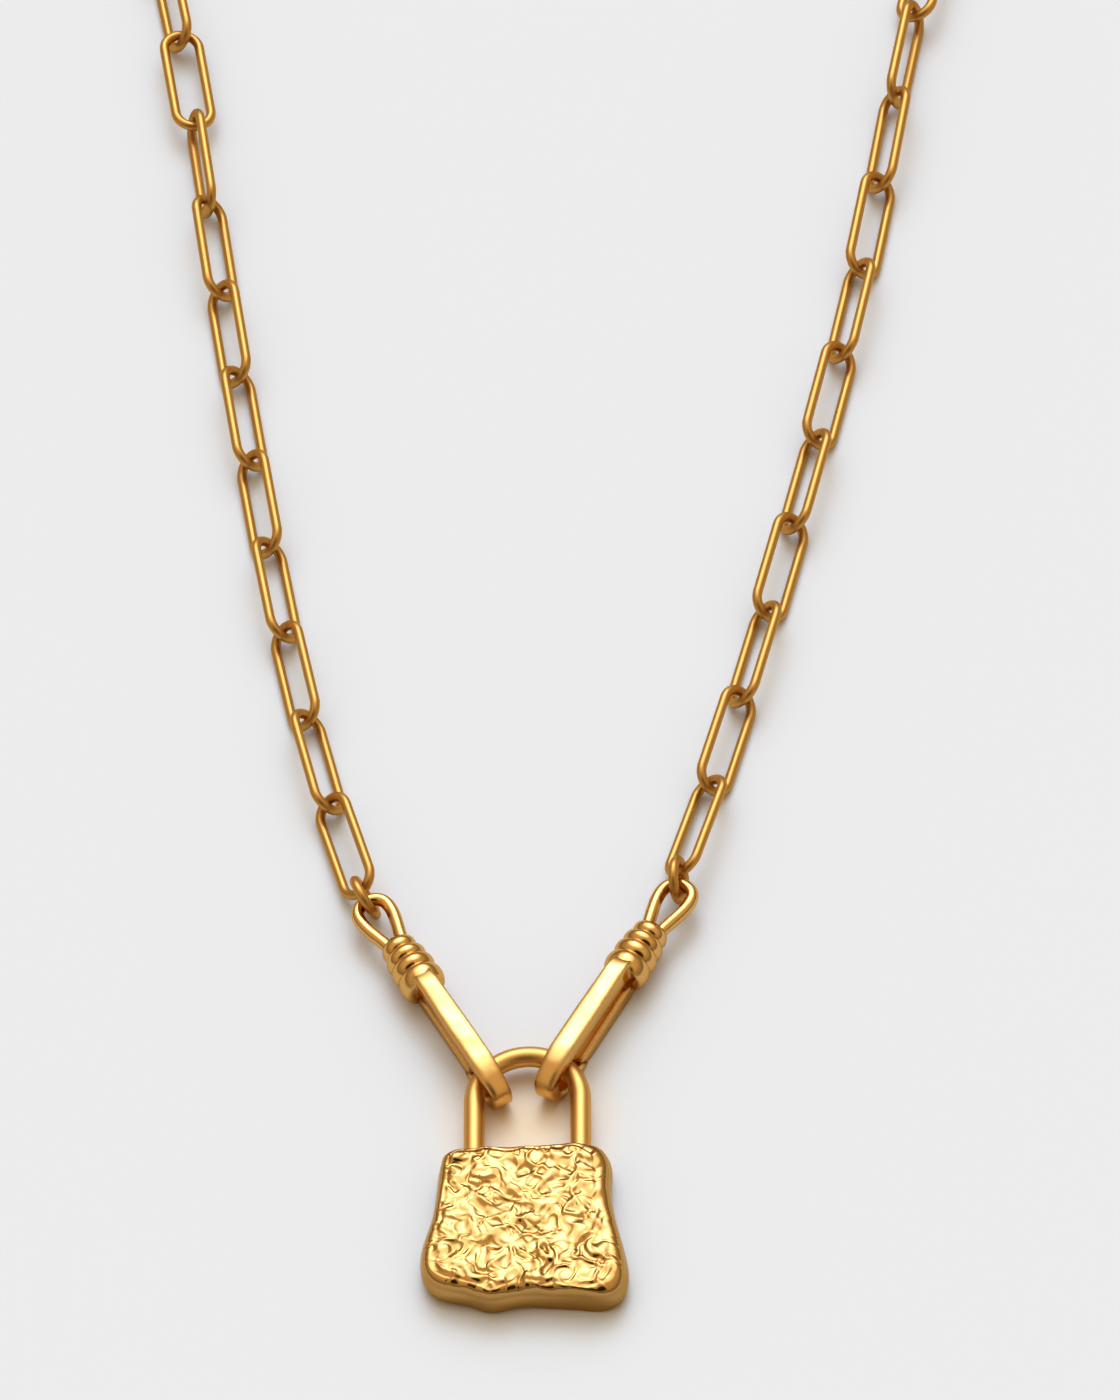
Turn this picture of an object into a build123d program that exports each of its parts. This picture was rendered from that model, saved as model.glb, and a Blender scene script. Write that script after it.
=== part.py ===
"""A link chain necklace whose two spring gate hooks hold a padlock pendant, lying on a table.

Millimetres, +Z up, +Y from the padlock up the necklace. The origin is the middle of the
padlock's flat back, so everything rests on z = 0.
"""
import math
import os

from build123d import *

# Chain of plain oval links
link_length = 11.85
link_width = 4.2
link_wire = 0.9
link_play = 0.1

# Jump rings between the chain and the hooks' eyes
ring_diameter = 4.5
ring_wire = 0.92
ring_play = 0.2

# Padlock body: cast, flared towards its flat back, with a raised and crumpled front
body_width = 18.6
body_height = 16.3
body_thickness = 3.6
relief_depth = 0.24
relief_wave_length = 2.8
relief_samples_per_wave = 6
relief_fit = 0.001

# Shackle: a bent rod whose two straight legs stand in sockets in the body
rod_diameter = 1.86
rod_height = 1.84
shackle_width = 9.54
shackle_rise = 10.2
socket_depth = 2.6
socket_clearance = 0.1

# Hook: a limb that bends round into a nose, on a ringed barrel with an eye. Lengths run along
# it from the eye's tip, and heights from the barrel's axis.
hook_length = 25.8
hook_width = 2.1
hook_top = 2.35
hook_drop = 2.25
hook_edge = 0.28
bend_length = 4.0
crease_height = 1.0
nose_length = 5.1
nose_round_length = 2.1
bevel_run = 0.7
throat_height = 2.3
throat_axis_height = -0.43
throat_end_wall = 1.15
seat_from_end = 3.4
limb_root = 10.9
limb_root_top = 1.9
limb_root_under = 0.1
eye_width = 4.1
eye_length = 5.9
eye_wire = 1.2
barrel_length = 5.9
collar_diameter = 4.25

# Gate: a bar that turns on a pin in the collar's slot and closes on the nose's bevel
gate_width = 1.8
gate_drop = 2.2
gate_thickness = 1.0
gate_clearance = 0.12
gate_edge = 0.12
knuckle_diameter = 1.24
pin_diameter = 0.6
pin_clearance = 0.06
pin_setback = 0.55
pin_drop = 1.3
pin_hold = 0.3

# How each side lies: the seat is the place round the shackle's arch and the headings are level
# directions, in degrees from +X. The roll turns the hook about its own length, and the ring
# leans to the left of its heading.
sides = {
    "left": {"seat": 143, "heading": -60.5, "roll": 2, "ring_heading": 114, "ring_lean": 72},
    "right": {"seat": 48, "heading": -120, "roll": 5, "ring_heading": 84, "ring_lean": 78},
}

# Chosen points of the chain's route from the left ring round to the right one, x and y
chain_route = [
    (-20.1, 55.1),
    (-25.4, 84.2),
    (-29.8, 113.8),
    (-32.6, 133.0),
    (-36.8, 170.6),
    (-25.4, 198.2),
    (2.2, 209.6),
    (29.8, 198.2),
    (41.2, 170.6),
    (36.3, 134.5),
    (31.0, 105.4),
    (24.4, 76.2),
    (19.4, 56.7),
]

# Links lean to alternate sides, in degrees, and a few lie flatter or stand up more. These are
# counted from the left ring, or with a minus back from the right one.
usual_lean = 47
odd_leans = {1: -40, 9: -72, 10: 10, 11: -58, -11: 25, -10: -72, -1: 40}

# The padlock's outline, clockwise from the top left: its widest line (wide_x, wide_y) and its
# front edge (front_x, front_y), as shares of half the width and half the height
outline = [
    (-0.77, 0.93, -0.71, 0.90),
    (-0.48, 0.97, -0.46, 0.93),
    (-0.11, 0.96, -0.09, 0.94),
    (0.32, 0.98, 0.30, 0.94),
    (0.70, 0.97, 0.60, 0.88),
    (0.80, 0.83, 0.70, 0.66),
    (0.81, 0.52, 0.73, 0.37),
    (0.83, 0.17, 0.76, 0.12),
    (0.89, -0.15, 0.81, -0.16),
    (0.96, -0.52, 0.83, -0.50),
    (0.96, -0.82, 0.84, -0.81),
    (0.88, -0.99, 0.75, -0.95),
    (0.59, -1.01, 0.45, -0.96),
    (0.24, -0.98, 0.10, -0.90),
    (-0.12, -0.98, -0.20, -0.88),
    (-0.35, -1.02, -0.38, -0.95),
    (-0.57, -0.93, -0.56, -0.83),
    (-0.85, -0.86, -0.74, -0.74),
    (-0.98, -0.71, -0.90, -0.66),
    (-1.03, -0.49, -0.93, -0.52),
    (-1.00, -0.18, -0.85, -0.25),
    (-0.92, 0.11, -0.82, 0.07),
    (-0.88, 0.43, -0.79, 0.42),
    (-0.85, 0.76, -0.75, 0.72),
]
outline_top = 0.96

# Sections of the padlock's body: height as a share of the thickness, and how far out from the
# front edge (0) towards the widest line (1)
body_sections = [
    (0.0, 0.5),
    (0.15, 0.86),
    (0.35, 1.0),
    (0.62, 0.84),
    (0.82, 0.5),
    (0.95, 0.15),
    (1.12, -0.5),
]

# Bulges of the hook's barrel from the eye end: where each peaks and ends as shares of the
# barrel's length, and its radius there and in the groove after it as shares of the collar's
barrel_bulges = [
    (0.12, 0.23, 0.77, 0.70),
    (0.34, 0.45, 0.90, 0.82),
    (0.57, 0.69, 0.97, 0.87),
    (0.82, 1.0, 0.99, 0.87),
]
barrel_neck = 0.5

# What follows from the sizes above
up = Vector(0, 0, 1)
arch_radius = shackle_width / 2
body_top = outline_top * body_height / 2
arch_centre = Vector(0, body_top + shackle_rise - arch_radius, rod_height)
ring_radius = (ring_diameter - ring_wire) / 2
throat_radius = throat_height / 2
nose_end = hook_length - nose_length
nose_top = throat_axis_height - throat_radius
collar_radius = collar_diameter / 2
collar_end = eye_length + barrel_length
pin_place = (collar_end - pin_setback, -pin_drop)


def level_direction(degrees):
    """The level unit vector at an angle from +X."""
    return Vector(math.cos(math.radians(degrees)), math.sin(math.radians(degrees)), 0)


def plane_along(origin, direction, roll):
    """The plane whose x runs along a direction, turned about it from lying level."""
    level_side = up.cross(direction)
    normal = direction.cross(level_side).rotate(Axis((0, 0, 0), direction), roll)
    return Plane(origin=origin, x_dir=direction, z_dir=normal)


def upright_plane(lay):
    """The plane through a piece's length and its height: x along it, y up."""
    return Plane(origin=lay.origin, x_dir=lay.x_dir, z_dir=-lay.y_dir)


def hook_plane(side):
    """Where a hook lies: the eye's tip, at the barrel's axis, with x towards the hook's end."""
    heading = level_direction(side["heading"])
    turned = math.radians(abs(side["roll"]))
    corner = hook_width / 2 - hook_edge
    flat_drop = hook_drop - hook_edge
    axis_height = flat_drop * math.cos(turned) + corner * math.sin(turned) + hook_edge
    seat = arch_centre + level_direction(side["seat"]) * arch_radius
    tip = seat - heading * (hook_length - seat_from_end)
    return plane_along(Vector(tip.X, tip.Y, axis_height), heading, side["roll"])


def ring_centre(side):
    """The jump ring's centre: it stands leaning on the table, its near side through the eye."""
    tip = hook_plane(side).origin
    near_wire = tip + level_direction(side["heading"]) * (eye_wire + ring_play + ring_wire / 2)
    centre = near_wire + level_direction(side["ring_heading"]) * ring_radius
    height = ring_radius * math.sin(math.radians(side["ring_lean"])) + ring_wire / 2
    return Vector(centre.X, centre.Y, height)


def ring_joint(side):
    """Where the jump ring and the chain's end link bear on each other."""
    reach = ring_radius - ring_wire / 2 - link_play / 2
    return ring_centre(side) + level_direction(side["ring_heading"]) * reach


def lean_of(number, links):
    """How far a link leans, in degrees: by turns to the right and to the left of its way."""
    usual = usual_lean if number % 2 == 0 else -usual_lean
    return odd_leans.get(number, odd_leans.get(number - links - 1, usual))


def resting_height(lean):
    """The height of a leaning link's middle when its lower limb touches the table."""
    half_spread = (link_width - link_wire) / 2
    return half_spread * math.sin(math.radians(abs(lean))) + link_wire / 2


def chain_joints():
    """The places where neighbours bear on each other, from the left ring to the right one."""
    first = ring_joint(sides["left"])
    last = ring_joint(sides["right"])
    with BuildLine() as route:
        Spline((first.X, first.Y), *chain_route, (last.X, last.Y))
    # The links come in pairs, so that both end links lean away from their rings
    longest_pitch = link_length - 2 * link_wire - link_play
    links = 2 * math.ceil(route.edge().length / (2 * longest_pitch))
    joints = [first]
    for number in range(1, links):
        place = route.edge().position_at(number / links)
        leans = lean_of(number, links), lean_of(number + 1, links)
        height = max(resting_height(lean) for lean in leans)
        joints.append(Vector(place.X, place.Y, height))
    return joints + [last]


def make_link(lay):
    """One oval link of round wire, its long way along the plane's x."""
    bend = (link_width - link_wire) / 2
    half = link_length / 2 - link_width / 2
    with BuildPart() as link:
        with BuildLine(lay) as loop:
            Line((-half, bend), (half, bend))
            CenterArc((half, 0), bend, 90, -180)
            Line((half, -bend), (-half, -bend))
            CenterArc((-half, 0), bend, -90, -180)
        path = loop.wire()
        with BuildSketch(Plane(origin=path @ 0, z_dir=path % 0)):
            Circle(link_wire / 2)
        sweep(path=path)
    return link.part


def make_jump_ring(side):
    """One round ring that stands leaning on the table."""
    heading = level_direction(side["ring_heading"])
    with BuildPart(plane_along(ring_centre(side), heading, side["ring_lean"])) as ring:
        Torus(ring_radius, ring_wire / 2)
    return ring.part


def make_hook(lay):
    """One hook: its limb, bend and nose, ringed barrel, eye, and the gate's slot and pin."""
    upright = upright_plane(lay)
    limb_under = throat_axis_height + throat_radius
    throat_end = hook_length - throat_end_wall - throat_radius
    limb_shoulder = collar_end + (collar_end - limb_root)
    limb_middle = (collar_end + throat_end) / 2
    bend_start = hook_length - bend_length
    nose_round = hook_length - nose_round_length
    slot_start = pin_place[0] - knuckle_diameter / 2 - gate_clearance
    slot_top = pin_place[1] + knuckle_diameter / 2 + gate_clearance
    slot_reach = collar_end - slot_start + gate_clearance
    with BuildPart() as hook:
        # Limb, bend and nose seen from the side
        with BuildSketch(upright):
            with BuildLine():
                Line((limb_root, limb_root_under), (limb_root, limb_root_top))
                TangentArc((limb_shoulder, hook_top), (limb_root, limb_root_top), tangent=(-1, 0))
                Line((limb_shoulder, hook_top), (bend_start, hook_top))
                TangentArc((bend_start, hook_top), (hook_length, crease_height), tangent=(1, 0))
                TangentArc((nose_round, -hook_drop), (hook_length, crease_height), tangent=(1, 0))
                Line((nose_round, -hook_drop), (nose_end - bevel_run, -hook_drop))
                Line((nose_end - bevel_run, -hook_drop), (nose_end, nose_top))
                Line((nose_end, nose_top), (throat_end, nose_top))
                ThreePointArc(
                    (throat_end, nose_top),
                    (throat_end + throat_radius, throat_axis_height),
                    (throat_end, limb_under),
                )
                Line((throat_end, limb_under), (limb_middle, limb_under))
                Line((limb_middle, limb_under), (limb_root, limb_root_under))
            make_face()
        extrude(amount=hook_width / 2, both=True)
        # The same seen from above: a little narrower at both ends
        with BuildSketch(lay):
            with BuildLine():
                widest = 0.7 * hook_length
                beyond = hook_length + bend_length / 4
                half_widths = [(limb_root, 0.44), (widest, 0.5), (hook_length, 0.44), (beyond, 0.41)]
                left_line = Spline([(along, share * hook_width) for along, share in half_widths])
                right_line = Spline([(along, -share * hook_width) for along, share in half_widths])
                Line(left_line @ 0, right_line @ 0)
                Line(left_line @ 1, right_line @ 1)
            make_face()
        extrude(amount=hook_drop + hook_top, both=True, mode=Mode.INTERSECT)
        across = Axis(lay.origin, lay.y_dir)
        fillet(hook.edges().filter_by(across, reverse=True), hook_edge)
        # Barrel: bulges and grooves turned about its axis
        with BuildSketch(upright):
            with BuildLine():
                start = (eye_length, barrel_neck * collar_radius)
                Line((eye_length, 0), start)
                for peak, end, peak_radius, groove_radius in barrel_bulges:
                    top = (eye_length + peak * barrel_length, peak_radius * collar_radius)
                    stop = (eye_length + end * barrel_length, groove_radius * collar_radius)
                    ThreePointArc(start, top, stop)
                    start = stop
                Line(start, (collar_end, 0))
                Line((collar_end, 0), (eye_length, 0))
            make_face()
        revolve(axis=Axis(lay.origin, lay.x_dir))
        # Eye: a level teardrop of wire whose ends run into the barrel
        with BuildLine(lay) as eye:
            side = (eye_width - eye_wire) / 2
            half_loop = [(1.1, 0.46), (0.78, 0.73), (0.46, 1.02), (0.2, 0.84)]
            left_side = [(along * eye_length, share * side) for along, share in half_loop]
            right_side = [(along, -across) for along, across in reversed(left_side)]
            Spline(*left_side, (eye_wire / 2, 0), *right_side)
        path = eye.wire()
        with BuildSketch(Plane(origin=path @ 0, z_dir=path % 0)):
            Circle(eye_wire / 2)
        sweep(path=path)
        # Slot in the collar for the gate's knuckle, and the pin across it
        with BuildSketch(upright):
            with Locations((slot_start, slot_top)):
                Rectangle(slot_reach, collar_diameter, align=(Align.MIN, Align.MAX))
        extrude(amount=gate_width / 2 + gate_clearance, both=True, mode=Mode.SUBTRACT)
        with BuildSketch(upright):
            with Locations(pin_place):
                Circle(pin_diameter / 2)
        extrude(amount=gate_width / 2 + gate_clearance + pin_hold, both=True)
    return hook.part


def make_gate(lay):
    """One gate: a knuckle round the pin and a bar whose bevelled tip lies on the nose."""
    pin_along, pin_height = pin_place
    knuckle = knuckle_diameter / 2
    gate_top = gate_thickness - gate_drop
    slope = bevel_run / (nose_top + hook_drop)
    gap_along = gate_clearance * math.hypot(1, slope)
    bevel_start = nose_end - bevel_run - gap_along
    bar_start = collar_end + knuckle
    with BuildPart() as gate:
        with BuildSketch(upright_plane(lay)):
            with BuildLine():
                Polyline(
                    (bar_start, gate_top),
                    (bevel_start + slope * (gate_top + hook_drop), gate_top),
                    (bevel_start + slope * (hook_drop - gate_drop), -gate_drop),
                    (bar_start, -gate_drop),
                    close=True,
                )
            with Locations(pin_place):
                Circle(knuckle)
            make_hull()
            with Locations(pin_place):
                Circle(pin_diameter / 2 + pin_clearance, mode=Mode.SUBTRACT)
        extrude(amount=gate_width / 2, both=True)
        # The outer edges are rounded, all but the pin hole's two, which are nearest to the pin
        across = Axis(lay.origin, lay.y_dir)
        pin_point = lay.from_local_coords(Vector(pin_along, 0, pin_height))
        around = gate.edges().filter_by(across, reverse=True).sort_by_distance(pin_point)
        fillet(around[2:], gate_edge)
    return gate.part


def make_shackle():
    """The padlock's bent rod: an arch and two legs that end just short of the sockets' ends."""
    foot = body_top - socket_depth + socket_clearance
    with BuildPart() as shackle:
        with BuildLine(Plane.XY.offset(rod_height)) as bend:
            Line((-arch_radius, foot), (-arch_radius, arch_centre.Y))
            CenterArc((0, arch_centre.Y), arch_radius, 180, -180)
            Line((arch_radius, arch_centre.Y), (arch_radius, foot))
        path = bend.wire()
        with BuildSketch(Plane(origin=path @ 0, z_dir=path % 0)):
            Circle(rod_diameter / 2)
        sweep(path=path)
    return shackle.part


def outline_at(spread):
    """The padlock's outline at a spread, from its front edge (0) to its widest line (1)."""
    points = []
    for wide_x, wide_y, front_x, front_y in outline:
        x = front_x + spread * (wide_x - front_x)
        y = front_y + spread * (wide_y - front_y)
        points.append((x * body_width / 2, y * body_height / 2))
    return points


def front_height(x, y):
    """The height of the crumpled front: winding ridges made from bent waves."""
    wave = 2 * math.pi / relief_wave_length
    bent_x = x + 0.36 * relief_wave_length * math.sin(0.43 * wave * y + 0.6)
    bent_y = y + 0.40 * relief_wave_length * math.sin(0.37 * wave * x + 2.1)
    folds = math.sin(wave * bent_x + 1.5 * math.sin(0.53 * wave * bent_y))
    cross_folds = math.sin(0.87 * wave * bent_y + 1.6 * math.sin(0.46 * wave * bent_x + 1.0))
    diagonal = math.sin(0.71 * wave * (bent_x - 0.6 * bent_y) + 0.4)
    return body_thickness + relief_depth * (0.4 * folds + 0.35 * cross_folds + 0.25 * diagonal)


def make_padlock_body():
    """The cast body: lofted walls, two sockets for the shackle, and the crumpled front."""
    with BuildPart() as body:
        for height, spread in body_sections:
            with BuildSketch(Plane.XY.offset(height * body_thickness)):
                with BuildLine():
                    Spline(outline_at(spread), periodic=True)
                make_face()
        loft()
        # Sockets for the shackle's legs, drilled from above the top wall
        with BuildSketch(Plane.XZ.offset(socket_depth - body_top)):
            with Locations((-arch_radius, rod_height), (arch_radius, rod_height)):
                Circle(rod_diameter / 2 + socket_clearance)
        extrude(amount=-2 * socket_depth, mode=Mode.SUBTRACT)
        # The front is cut down to a surface fitted through the crumpled heights
        step = relief_wave_length / relief_samples_per_wave
        across = math.ceil(0.56 * body_width / step)
        along = math.ceil(0.56 * body_height / step)
        grid = [
            [(i * step, j * step, front_height(i * step, j * step)) for j in range(-along, along + 1)]
            for i in range(-across, across + 1)
        ]
        front = Face.make_surface_from_array_of_points(
            grid, tol=relief_fit, smoothing=(relief_fit, relief_fit, relief_fit), max_deg=14
        )
        extrude(to_extrude=front, amount=body_thickness, dir=(0, 0, 1), mode=Mode.SUBTRACT)
    return body.part


def save(piece, name):
    """Label a finished piece and write it to its file."""
    piece.label = name
    export_step(piece, f"parts/{name}.step")


os.makedirs("parts", exist_ok=True)
joints = chain_joints()
for number, (start, end) in enumerate(zip(joints, joints[1:]), start=1):
    lean = lean_of(number, len(joints) - 1)
    lay = plane_along((start + end) / 2, (end - start).normalized(), lean)
    save(make_link(lay), f"link_{number:02d}")
for name, side in sides.items():
    save(make_jump_ring(side), f"jump_ring_{name}")
    save(make_hook(hook_plane(side)), f"hook_{name}")
    save(make_gate(hook_plane(side)), f"gate_{name}")
save(make_shackle(), "shackle")
save(make_padlock_body(), "padlock_body")
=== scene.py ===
"""Looks of the padlock pendant necklace: gold pieces on a pale table under a broad soft light."""
import math

import bpy
import numpy as np
from mathutils import Matrix, Vector
from mathutils.bvhtree import BVHTree


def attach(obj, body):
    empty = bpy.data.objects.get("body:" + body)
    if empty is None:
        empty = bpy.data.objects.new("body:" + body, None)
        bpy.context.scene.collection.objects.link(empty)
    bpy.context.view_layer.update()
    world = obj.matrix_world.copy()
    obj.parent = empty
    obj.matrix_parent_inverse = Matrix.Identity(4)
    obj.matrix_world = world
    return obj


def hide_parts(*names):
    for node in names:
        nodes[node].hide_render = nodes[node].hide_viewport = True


mm = 0.001

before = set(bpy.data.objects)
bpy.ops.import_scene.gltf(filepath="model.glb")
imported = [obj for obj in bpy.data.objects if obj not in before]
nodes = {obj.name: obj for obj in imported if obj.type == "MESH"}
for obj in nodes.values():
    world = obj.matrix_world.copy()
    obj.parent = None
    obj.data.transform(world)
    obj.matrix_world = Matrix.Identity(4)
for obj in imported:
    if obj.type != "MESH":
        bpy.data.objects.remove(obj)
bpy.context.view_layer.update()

# The photo's view: the place it looks at, its angles in degrees, and its scale
look_point = Vector((2.9 * mm, 57.0 * mm, 1.6 * mm))
view_elevation = 55.0
view_azimuth = 5.0
view_distance = 1500 * mm
pixels_per_metre = 11000
photo_height = 1400
sensor_height = 36
nearest_seen = 10 * mm
farthest_seen = 50.0

# The room's light: dim below and lighter above, with a broad lamp, its bright core and the dark
# camera as round patches on it. Angles are in degrees. A patch's elevation is counted from the far
# side of the table, up over the top.
room_color = (1.22, 1.00, 0.70)
room_low = 0.28
room_high = 0.74
room_low_end = 0.05
room_high_start = 0.9
lamp_color = (0.77, 1.00, 1.31)
lamp_patch = {"elevation": 54.0, "spread": 27.0, "softness": 12.0, "value": 1.95}
core_patch = {"elevation": 49.0, "spread": 9.5, "softness": 8.0, "value": 4.1}
camera_patch = {"elevation": 132.0, "spread": 24.0, "softness": 9.0, "value": 0.96}

# The table, and the warm glow that the gold throws on it inside the shackle
table_half = 3.0
table_drop = 0.02 * mm
table_color = (0.805, 0.803, 0.803)
glow_color = (0.97, 0.80, 0.58)
glow_middle = (0, 12 * mm, 0)
glow_reach = 11 * mm

# Gold: its tint at a flat angle, and how far upward its walls and its fronts face, from 0 to 1.
# Between these two, the painted shade on the walls fades out towards the fronts.
edge_tint = (0.97, 0.78, 0.54)
wall_facing = 0.1
front_facing = 0.75
wave_detail = 2
edge_samples = 6

# The hooks are softly rounded on the padlock's side of this place, and crisp beyond it
limb_end = 25.5 * mm
limb_blend = 1 * mm

# From here on lengths are in mm. First the padlock's outline, and the cells of its front
front_columns = 230
front_rows = 200
side_cells = (front_columns, front_rows, front_columns, front_rows)
corner_ways = ((-1, 1), (1, 1), (1, -1), (-1, -1))
outline_rays = 720
outline_height = 3.1
ray_start = 30.0
ray_top = 9.0
lowest_ray = 0.01

# The padlock's walls, and the rounded rim between them and the front. The window is in points.
rim_height = 2.4
wall_heights = (0.0, 0.08, 0.2, 0.36, 0.56, 0.8, 1.05, 1.3, 1.6, 1.9, 2.15, rim_height)
corner_window = 12
rim_steps = 14
rim_inset = 0.42
rim_unevenness = 0.22
right_inset = 0.45
right_inset_start = 4.5
right_inset_end = 7.0
rim_fall = 0.10
rim_fall_width = 0.8
top_fall = 0.16
top_fall_width = 0.7
sharp_angle = 75.0

# The two sockets for the shackle's legs, in the padlock's top side
socket_spacing = 9.54
socket_height = 1.84
socket_radius = 1.03
socket_foot = 5.224
socket_margin = 0.25
top_side_start = 6.0
drill_length = 6.0
drill_steps = 64

# The front's heights: the solid's coarse relief made smooth, the fine relief, and a soft limit
front_height = 3.6
coarse_share = 0.75
blur_cells = 4
blur_turns = 3
relief_drop = 0.10
relief_at_rim = 0.7
relief_inside = 0.3
relief_top = 3.80
top_softness = 0.08

# The fine relief's bends, bumps, ridges, creases and folds
wide_bend = 0.6
fine_bend = 0.14
broad_height = 0.10
middle_height = 0.06
long_ridge_height = 0.13
long_ridge_width = 0.22
short_ridge_height = 0.09
short_ridge_width = 0.27
crease_depth = 0.07
crease_width = 0.11
crease_range = (-0.15, 0.3)
calm_share = 0.55
lively_share = 0.5
lively_range = (-0.35, 0.3)
fold_height = 0.13
fold_calm = 0.65
fold_half_width = 0.45
large_folds = (
    {"start_x": 5.5, "start_y": 5.5, "end_x": 0.9, "end_y": -0.3},
    {"start_x": -3.4, "start_y": 7.0, "end_x": -0.8, "end_y": 2.2},
    {"start_x": -7.6, "start_y": -3.6, "end_x": -4.2, "end_y": -6.5},
    {"start_x": 6.6, "start_y": 1.0, "end_x": 2.3, "end_y": -6.0},
    {"start_x": -5.9, "start_y": 3.2, "end_x": -4.4, "end_y": -2.0},
)

# Each noise of the padlock: the size of its cells, how many cells it is shifted, and its seed
noises = {
    "wide_bend_x": {"size": 2.1, "shift": 0, "seed": 11},
    "wide_bend_y": {"size": 2.1, "shift": 7, "seed": 12},
    "fine_bend_x": {"size": 0.9, "shift": 0, "seed": 13},
    "fine_bend_y": {"size": 0.9, "shift": 5, "seed": 14},
    "broad": {"size": 2.2, "shift": 0, "seed": 1},
    "middle": {"size": 1.0, "shift": 0, "seed": 2},
    "long_ridge": {"size": 2.1, "shift": 3, "seed": 4},
    "short_ridge": {"size": 1.25, "shift": 8, "seed": 5},
    "lively": {"size": 3.1, "shift": 4, "seed": 6},
    "crease": {"size": 1.7, "shift": 2, "seed": 7},
    "creased": {"size": 1.6, "shift": 9, "seed": 8},
    "rim": {"size": 1.7, "shift": 0, "seed": 21},
}

# What mixes a noise's cell and seed into a steady random number
column_factor = 374761393
row_factor = 668265263
seed_factor = 2147483647
mixing_factor = 1274126177
low_bits = 0xFFFFFFFF
first_shift = 13
second_shift = 16
angle_steps = 65536
noise_gain = 1.5


def set_camera():
    """The photo's view, turned so that straight up the table is straight up in the picture."""
    azimuth = math.radians(view_azimuth)
    elevation = math.radians(view_elevation)
    level = Vector((math.cos(azimuth), math.sin(azimuth), 0))
    forward = Vector((-math.sin(azimuth) * math.cos(elevation),
                      math.cos(azimuth) * math.cos(elevation), -math.sin(elevation)))
    above = level.cross(forward)
    roll = math.atan(math.tan(azimuth) / math.sin(elevation))
    right = level * math.cos(roll) - above * math.sin(roll)
    up = level * math.sin(roll) + above * math.cos(roll)
    data = bpy.data.cameras.new("camera")
    data.sensor_fit = "VERTICAL"
    data.sensor_height = sensor_height
    data.lens = sensor_height * pixels_per_metre * view_distance / photo_height
    data.clip_start = nearest_seen
    data.clip_end = farthest_seen
    camera = bpy.data.objects.new("camera", data)
    bpy.context.scene.collection.objects.link(camera)
    place = look_point - forward * view_distance
    turn = Matrix((right, up, -forward)).transposed().to_4x4()
    camera.matrix_world = Matrix.Translation(place) @ turn
    bpy.context.scene.camera = camera


def axis_of(tree, vector, axis):
    """The part of a vector along one axis."""
    node = tree.nodes.new("ShaderNodeSeparateXYZ")
    tree.links.new(vector, node.inputs[0])
    return node.outputs[axis]


def ranged(tree, value, low, high, at_low=0.0, at_high=1.0, smooth=False):
    """Turns a value between two limits into a value between two others."""
    node = tree.nodes.new("ShaderNodeMapRange")
    if smooth:
        node.interpolation_type = "SMOOTHSTEP"
    node.inputs["From Min"].default_value = low
    node.inputs["From Max"].default_value = high
    node.inputs["To Min"].default_value = at_low
    node.inputs["To Max"].default_value = at_high
    tree.links.new(value, node.inputs["Value"])
    return node.outputs["Result"]


def between(tree, share, first, second):
    """A colour between two colours, by a share from 0 to 1."""
    node = tree.nodes.new("ShaderNodeMix")
    node.data_type = "RGBA"
    node.inputs["A"].default_value = (*first, 1)
    node.inputs["B"].default_value = (*second, 1)
    tree.links.new(share, node.inputs["Factor"])
    return node.outputs["Result"]


def calculate(tree, operation, first, second):
    """The result of one sum or product of two values of a node tree."""
    node = tree.nodes.new("ShaderNodeMath")
    node.operation = operation
    for socket, value in zip(node.inputs, (first, second)):
        if isinstance(value, (int, float)):
            socket.default_value = value
        else:
            tree.links.new(value, socket)
    return node.outputs[0]


def new_material(name):
    """A new material with its node tree and its surface shader."""
    material = bpy.data.materials.new(name)
    material.use_nodes = True
    tree = material.node_tree
    return material, tree, tree.nodes["Principled BSDF"]


def paint_wall_shade(tree, shader, color, share):
    """Gold with painted shade: darker where it faces sideways than where it faces up."""
    facing = tree.nodes.new("ShaderNodeNewGeometry")
    upward = axis_of(tree, facing.outputs["Normal"], "Z")
    unshaded_share = ranged(tree, upward, wall_facing, front_facing)
    # Painted shade: the sideways-facing walls take a darker copy of the gold's colour
    shaded_wall_color = [part * share for part in color]
    tree.links.new(between(tree, unshaded_share, shaded_wall_color, color), shader.inputs["Base Color"])


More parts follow.
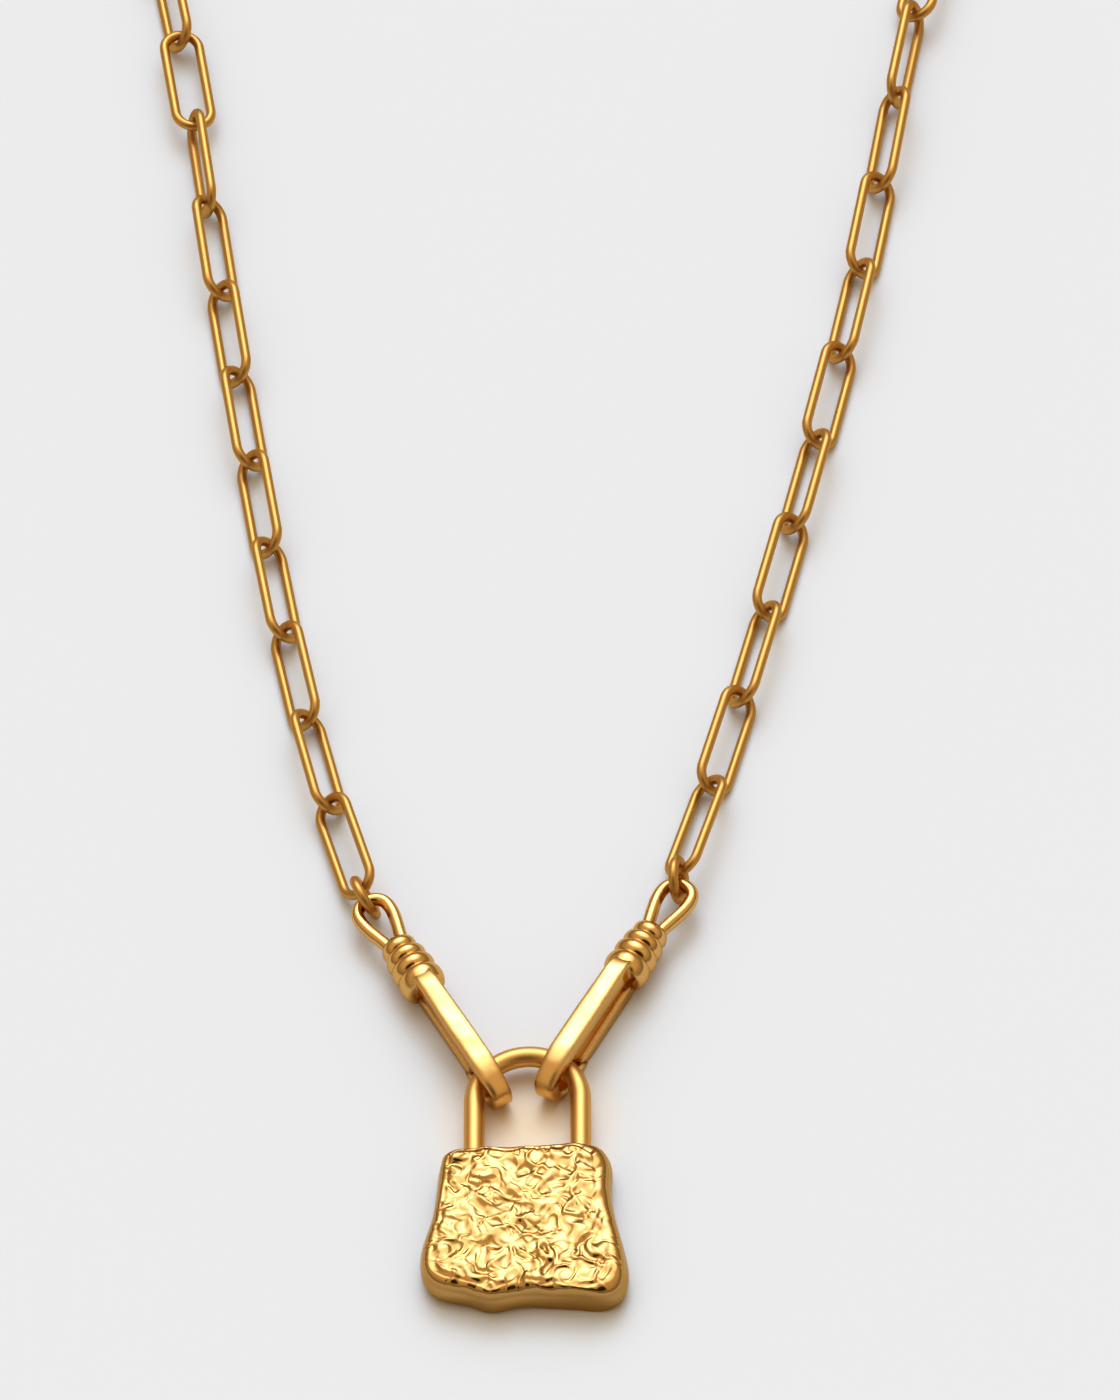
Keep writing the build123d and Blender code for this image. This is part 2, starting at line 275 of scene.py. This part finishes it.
def gold(name, color, roughness, wave_size, wave_depth, edge_radius,
         painted_wall_shade=None, limb_radius=None):
    """Polished gold plate with faint waves in its surface and softly rounded edges, and painted shade
    on its walls when a wall shade factor is given.
    """
    material, tree, shader = new_material(name)
    shader.inputs["Base Color"].default_value = (*color, 1)
    # Painted shade on the walls, when a factor for it is given
    if painted_wall_shade:
        paint_wall_shade(tree, shader, color, painted_wall_shade)
    shader.inputs["Specular Tint"].default_value = (*edge_tint, 1)
    shader.inputs["Metallic"].default_value = 1
    shader.inputs["Roughness"].default_value = roughness
    place = tree.nodes.new("ShaderNodeTexCoord").outputs["Object"]
    wave = tree.nodes.new("ShaderNodeTexNoise")
    wave.inputs["Scale"].default_value = 1 / wave_size
    wave.inputs["Detail"].default_value = wave_detail
    tree.links.new(place, wave.inputs["Vector"])
    edge = tree.nodes.new("ShaderNodeBevel")
    edge.samples = edge_samples
    edge.inputs["Radius"].default_value = edge_radius
    if limb_radius:
        radius = ranged(tree, axis_of(tree, place, "Y"), limb_end - limb_blend, limb_end + limb_blend,
                        limb_radius, edge_radius)
        tree.links.new(radius, edge.inputs["Radius"])
    bump = tree.nodes.new("ShaderNodeBump")
    tree.links.new(edge.outputs["Normal"], bump.inputs["Normal"])
    bump.inputs["Strength"].default_value = 1
    bump.inputs["Distance"].default_value = wave_depth
    tree.links.new(wave.outputs["Fac"], bump.inputs["Height"])
    tree.links.new(bump.outputs["Normal"], shader.inputs["Normal"])
    return material


def table_material():
    """A pale and quite dull surface, with the gold's warm glow on it inside the shackle."""
    material, tree, shader = new_material("table")
    place = tree.nodes.new("ShaderNodeTexCoord").outputs["Object"]
    away = tree.nodes.new("ShaderNodeVectorMath")
    away.operation = "DISTANCE"
    away.inputs[1].default_value = glow_middle
    tree.links.new(place, away.inputs[0])
    plain_share = ranged(tree, away.outputs["Value"], 0, glow_reach, smooth=True)
    color = between(tree, plain_share, glow_color, table_color)
    tree.links.new(color, shader.inputs["Base Color"])
    shader.inputs["Roughness"].default_value = 1
    shader.inputs["Specular IOR Level"].default_value = 0
    return material


def spot(tree, direction, elevation, spread, softness, value):
    """A soft round patch of the room, seen from the table, with its value inside it."""
    aim = tree.nodes.new("ShaderNodeVectorMath")
    aim.operation = "DOT_PRODUCT"
    angle = math.radians(elevation)
    aim.inputs[1].default_value = (0, math.cos(angle), math.sin(angle))
    tree.links.new(direction, aim.inputs[0])
    outer = math.cos(math.radians(spread + softness))
    inner = math.cos(math.radians(spread - softness))
    return ranged(tree, aim.outputs["Value"], outer, inner, 0, value, smooth=True)


def set_light():
    """A room painted on the sky: dim low down, lighter above, a broad lamp and the dark camera."""
    world = bpy.data.worlds.new("room")
    bpy.context.scene.world = world
    world.use_nodes = True
    tree = world.node_tree
    direction = tree.nodes.new("ShaderNodeTexCoord").outputs["Generated"]
    height = axis_of(tree, direction, "Z")
    walls = ranged(tree, height, room_low_end, room_high_start, room_low, room_high, smooth=True)
    camera_shade = spot(tree, direction, **camera_patch)
    kept = calculate(tree, "SUBTRACT", 1.0, camera_shade)
    room = tree.nodes["Background"]
    room.inputs["Color"].default_value = (*room_color, 1)
    tree.links.new(calculate(tree, "MULTIPLY", walls, kept), room.inputs["Strength"])
    light = calculate(tree, "ADD", spot(tree, direction, **lamp_patch),
                      spot(tree, direction, **core_patch))
    lamp = tree.nodes.new("ShaderNodeBackground")
    lamp.inputs["Color"].default_value = (*lamp_color, 1)
    tree.links.new(light, lamp.inputs["Strength"])
    both = tree.nodes.new("ShaderNodeAddShader")
    tree.links.new(room.outputs[0], both.inputs[0])
    tree.links.new(lamp.outputs[0], both.inputs[1])
    tree.links.new(both.outputs[0], tree.nodes["World Output"].inputs["Surface"])


def add_mesh(name, points, faces):
    """A new object with these points, in metres, and these faces."""
    places = [tuple(point) for point in points]
    corners = [tuple(int(index) for index in face) for face in faces]
    mesh = bpy.data.meshes.new(name)
    mesh.from_pydata(places, [], corners)
    mesh.validate()
    mesh.update()
    thing = bpy.data.objects.new(name, mesh)
    bpy.context.scene.collection.objects.link(thing)
    return thing


def add_table():
    """The surface that everything lies on."""
    corners = [(x * table_half, y * table_half, 0) for x, y in ((-1, -1), (1, -1), (1, 1), (-1, 1))]
    table = add_mesh("table", corners, [(0, 1, 2, 3)])
    table.location = (0, 0, -table_drop)
    table.data.materials.append(table_material())


def cell_angle(column, row, seed):
    """A steady random angle for each cell of a noise."""
    mixed = column.astype(np.int64) * column_factor + row.astype(np.int64) * row_factor
    mixed = (mixed + seed * seed_factor) & low_bits
    mixed = ((mixed ^ (mixed >> first_shift)) * mixing_factor) & low_bits
    mixed = mixed ^ (mixed >> second_shift)
    return mixed % angle_steps / angle_steps * 2 * np.pi


def fade(share):
    """Rises from 0 to 1, with neither slope nor bend at its ends."""
    return share ** 3 * (share * (share * 6 - 15) + 10)


def ease(low, high, value):
    """Rises smoothly from 0 to 1 between two values."""
    share = np.clip((value - low) / (high - low), 0, 1)
    return share * share * (3 - 2 * share)


def ridge(value, width):
    """1 where a value is 0, and soon nothing to either side."""
    return np.exp(-(value / width) ** 2)


def noise(name, x, y):
    """One of the padlock's smooth noises, of about -1 to 1, at places on its front."""
    kind = noises[name]
    x = x / kind["size"] + kind["shift"]
    y = y / kind["size"]
    column = np.floor(x)
    row = np.floor(y)
    across = x - column
    along = y - row
    blend_x = fade(across)
    blend_y = fade(along)

    def pull(right, up):
        angle = cell_angle(column + right, row + up, kind["seed"])
        return np.cos(angle) * (across - right) + np.sin(angle) * (along - up)

    low = pull(0, 0) * (1 - blend_x) + pull(1, 0) * blend_x
    high = pull(0, 1) * (1 - blend_x) + pull(1, 1) * blend_x
    return (low * (1 - blend_y) + high * blend_y) * noise_gain


def fold_share(x, y):
    """How near a place is to one of the large folds, from 0 to 1."""
    share = np.zeros_like(x)
    for fold in large_folds:
        from_x = x - fold["start_x"]
        from_y = y - fold["start_y"]
        run = fold["end_x"] - fold["start_x"]
        rise = fold["end_y"] - fold["start_y"]
        along = np.clip((from_x * run + from_y * rise) / (run ** 2 + rise ** 2), 0, 1)
        away = np.hypot(from_x - along * run, from_y - along * rise)
        share = np.maximum(share, ridge(away, fold_half_width))
    return share


def crumple(x, y):
    """The fine relief: broad bumps, with rounded ridges, creases and large folds over them."""
    bent_x = x + wide_bend * noise("wide_bend_x", x, y) + fine_bend * noise("fine_bend_x", x, y)
    bent_y = y + wide_bend * noise("wide_bend_y", x, y) + fine_bend * noise("fine_bend_y", x, y)
    broad = broad_height * noise("broad", bent_x, bent_y)
    middle = middle_height * noise("middle", bent_x, bent_y)
    long_ridge = long_ridge_height * ridge(noise("long_ridge", bent_x, bent_y), long_ridge_width)
    short_ridge = short_ridge_height * ridge(noise("short_ridge", bent_x, bent_y), short_ridge_width)
    lively = calm_share + lively_share * ease(*lively_range, noise("lively", x, y))
    crease = ridge(noise("crease", bent_x, bent_y), crease_width)
    crease = crease_depth * (crease * ease(*crease_range, noise("creased", x, y)))
    fold = fold_share(bent_x, bent_y)
    fine = broad + lively * (middle + long_ridge + short_ridge) - crease
    return fine * (1 - fold_calm * fold) + fold_height * fold


def blurred(grid, width):
    """A grid of heights made smoother over a number of cells."""
    for _ in range(blur_turns):
        for axis in (0, 1):
            before = np.repeat(np.take(grid, [0], axis), width, axis)
            after = np.repeat(np.take(grid, [-1], axis), width, axis)
            total = np.cumsum(np.concatenate([before, grid, after], axis), axis)
            size = grid.shape[axis]
            ahead = np.take(total, np.arange(2 * width, 2 * width + size), axis)
            behind = np.take(total, np.arange(0, size), axis)
            grid = (ahead - behind) / (2 * width)
    return grid


def rounded(line, window):
    """A closed line with its corners rounded, by a mean over some points on either side."""
    turned = [np.roll(line, step, axis=0) for step in range(-window, window + 1)]
    return np.mean(turned, axis=0)


def along_line(points, start, stop, count):
    """Evenly spaced points on a closed line from one of its points to another, without the last."""
    last = stop if stop > start else stop + len(points)
    stretch = points[np.arange(start, last + 1) % len(points)]
    steps = np.linalg.norm(np.diff(stretch, axis=0), axis=1)
    lengths = np.concatenate([[0], np.cumsum(steps)])
    wanted = np.linspace(0, lengths[-1], count + 1)[:-1]
    return np.stack([np.interp(wanted, lengths, stretch[:, axis]) for axis in (0, 1)], axis=1)


def band(first, second):
    """The faces between two loops of points."""
    count = len(first)
    ends = [(k, (k + 1) % count) for k in range(count)]
    return [(first[k], second[k], second[after], first[after]) for k, after in ends]


def wall_point(solid, angle, height):
    """Where the solid's wall is at an angle and a height, found from outside."""
    outward = Vector((math.cos(angle), math.sin(angle), 0))
    start = outward * (ray_start * mm) + Vector((0, 0, height * mm))
    hit = solid.ray_cast(start, -outward)[0]
    return hit.x / mm, hit.y / mm


def padlock_edge(solid):
    """The outline, clockwise from the top left corner, in as many steps as the front has cells."""
    angles = [-math.radians(ray * 360 / outline_rays) for ray in range(outline_rays)]
    outline = np.array([wall_point(solid, angle, outline_height) for angle in angles])
    corners = [int(np.argmax(outline @ np.array(way))) for way in corner_ways]
    ends = zip(corners, corners[1:] + corners[:1], side_cells)
    return np.concatenate([along_line(outline, start, stop, count) for start, stop, count in ends])


def wall_rings(solid, edge):
    """Rings up the walls, which follow the solid and pass straight over its two sockets."""
    angles = np.arctan2(edge[:, 1], edge[:, 0])
    from_socket = np.abs(np.abs(edge[:, 0]) - socket_spacing / 2)
    by_socket = (from_socket < socket_radius + socket_margin) & (edge[:, 1] > top_side_start)
    hidden = np.nonzero(by_socket)[0]
    clear = np.nonzero(~by_socket)[0]
    rings = []
    for height in wall_heights:
        ring = np.zeros((len(edge), 3))
        ring[clear, :2] = [wall_point(solid, angles[k], max(height, lowest_ray)) for k in clear]
        for axis in (0, 1):
            ring[hidden, axis] = np.interp(hidden, clear, ring[clear, axis])
        ring[:, 2] = height
        rings.append(rounded(ring, corner_window))
    return rings


def rim_rings(base, lip):
    """Rings of the rounded rim, from the top ring of the walls to the front's edge."""
    rings = []
    for step in range(1, rim_steps):
        turn = math.pi / 2 * step / rim_steps
        inward = 1 - math.cos(turn)
        rings.append(base + (lip - base) * np.array([inward, inward, math.sin(turn)]))
    return rings


def front_shares():
    """How far across and how far down the front each of its columns and rows is, from 0 to 1."""
    across = np.linspace(0, 1, front_columns + 1)[None, :]
    down = np.linspace(0, 1, front_rows + 1)[:, None]
    return across, down


def front_places(edge):
    """The front's places: a grid stretched between its four sides, a little inside the rim."""
    inward = -edge / np.linalg.norm(edge, axis=1)[:, None]
    inset = rim_inset + rim_unevenness * noise("rim", edge[:, :1], edge[:, 1:])
    inset = inset + right_inset * ease(right_inset_start, right_inset_end, edge[:, :1])
    inner = rounded(edge, corner_window) + inward * inset
    first, second, third, fourth = np.cumsum((0,) + side_cells[:3])
    top = inner[first:second + 1]
    right = inner[second:third + 1]
    bottom = inner[third:fourth + 1][::-1]
    left = np.concatenate([inner[fourth:], inner[:1]])[::-1]
    u, v = [share[..., None] for share in front_shares()]
    between_rows = (1 - v) * top[None] + v * bottom[None]
    between_columns = (1 - u) * left[:, None] + u * right[:, None]
    corner_mix = ((1 - u) * (1 - v) * top[0] + u * (1 - v) * top[-1]
                  + (1 - u) * v * bottom[0] + u * v * bottom[-1])
    return between_rows + between_columns - corner_mix


def solid_height(solid, x, y):
    """How high the solid's front is at a place."""
    return solid.ray_cast(Vector((x * mm, y * mm, ray_top * mm)), Vector((0, 0, -1)))[0].z / mm


def front_heights(solid, edge, front):
    """The front's heights: the solid's relief and the fine one, lower by the rim and at its top."""
    across, down = front_shares()
    width, length = np.ptp(edge, axis=0)
    from_side = np.minimum(across, 1 - across) * width
    from_end = np.minimum(down, 1 - down) * length
    inside = ease(0, rim_fall_width, np.minimum(from_side, from_end))
    coarse = np.array([[solid_height(solid, x, y) for x, y in row] for row in front])
    coarse = coarse_share * (blurred(coarse, blur_cells) - front_height)
    relief = coarse + crumple(front[..., 0], front[..., 1]) - relief_drop
    heights = front_height + relief * (relief_at_rim + relief_inside * inside)
    heights -= rim_fall * (1 - inside)
    heights -= top_fall * (1 - ease(0, top_fall_width, down * length))
    # Soft limit at the top, so that the highest parts are broad and smooth
    return relief_top - top_softness * np.logaddexp(0, (relief_top - heights) / top_softness)


def add_padlock():
    """The padlock's body with its walls as in the CAD solid and a finely crumpled front."""
    cad = nodes["padlock_body"].data
    corners = [vertex.co.copy() for vertex in cad.vertices]
    solid = BVHTree.FromPolygons(corners, [face.vertices[:] for face in cad.polygons])
    edge = padlock_edge(solid)
    front = front_places(edge)
    heights = front_heights(solid, edge, front)
    grid = np.concatenate([front, heights[..., None]], axis=2).reshape(-1, 3)
    number = np.arange(len(grid)).reshape(heights.shape)
    around = np.concatenate([number[0, :-1], number[:-1, -1], number[-1, :0:-1], number[:0:-1, 0]])
    rings = wall_rings(solid, edge)
    rings += rim_rings(rings[-1], grid[around])

    faces = []
    for row in range(front_rows):
        for column in range(front_columns):
            faces.append((number[row, column], number[row + 1, column],
                          number[row + 1, column + 1], number[row, column + 1]))
    count = len(edge)
    loops = [len(grid) + index * count + np.arange(count) for index in range(len(rings))] + [around]
    for lower, upper in zip(loops, loops[1:]):
        faces += band(lower, upper)
    faces.append(loops[0])
    body = add_mesh("padlock_relief", np.concatenate([grid] + rings) * mm, faces)
    drill_sockets(body)
    body.data.polygons.foreach_set("use_smooth", [True] * len(body.data.polygons))
    body.data.set_sharp_from_angle(angle=math.radians(sharp_angle))
    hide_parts("padlock_body")
    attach(body, "necklace")
    return body


def drill_sockets(body):
    """Cuts the two round sockets for the shackle's legs."""
    points = []
    faces = []
    for x in (-socket_spacing / 2, socket_spacing / 2):
        near = [len(points) + step for step in range(drill_steps)]
        far = [index + drill_steps for index in near]
        for y in (socket_foot, socket_foot + drill_length):
            for step in range(drill_steps):
                turn = 2 * math.pi * step / drill_steps
                place = (x + socket_radius * math.cos(turn), y,
                         socket_height + socket_radius * math.sin(turn))
                points.append([value * mm for value in place])
        faces += [near, far[::-1]] + band(near, far)
    drill = add_mesh("drill", points, faces)
    cut = body.modifiers.new("sockets", "BOOLEAN")
    cut.operation = "DIFFERENCE"
    cut.solver = "MANIFOLD"
    cut.object = drill
    bpy.context.view_layer.update()
    shape = body.evaluated_get(bpy.context.evaluated_depsgraph_get())
    body.data = bpy.data.meshes.new_from_object(shape)
    body.modifiers.clear()
    bpy.data.objects.remove(drill)


def paint(thing, material):
    """Gives a piece its material."""
    thing.data.materials.clear()
    thing.data.materials.append(material)


set_camera()
set_light()
add_table()
chain_gold = gold("chain gold", color=(0.53, 0.267, 0.063), roughness=0.38,
                  wave_size=2.4 * mm, wave_depth=0.03 * mm, edge_radius=0.05 * mm)
hook_gold = gold("hook gold", color=(0.66, 0.37, 0.112), roughness=0.12,
                 wave_size=5.0 * mm, wave_depth=0.26 * mm, edge_radius=0.08 * mm, limb_radius=0.8 * mm)
shackle_gold = gold("shackle gold", color=(0.66, 0.36, 0.098), roughness=0.38,
                    wave_size=4.0 * mm, wave_depth=0.06 * mm, edge_radius=0.05 * mm)
# The padlock's walls get painted shade: their gold is darker by this factor where they face sideways
padlock_gold = gold("padlock gold", color=(0.52, 0.285, 0.082), roughness=0.12,
                    wave_size=4.0 * mm, wave_depth=0.06 * mm, edge_radius=0.05 * mm, painted_wall_shade=0.79)
for name, node in nodes.items():
    if name.startswith(("link", "jump_ring")):
        paint(node, chain_gold)
    elif name.startswith(("hook", "gate")):
        paint(node, hook_gold)
    else:
        paint(node, shackle_gold)
padlock = add_padlock()
paint(padlock, padlock_gold)

bpy.context.scene.view_settings.view_transform = "Standard"
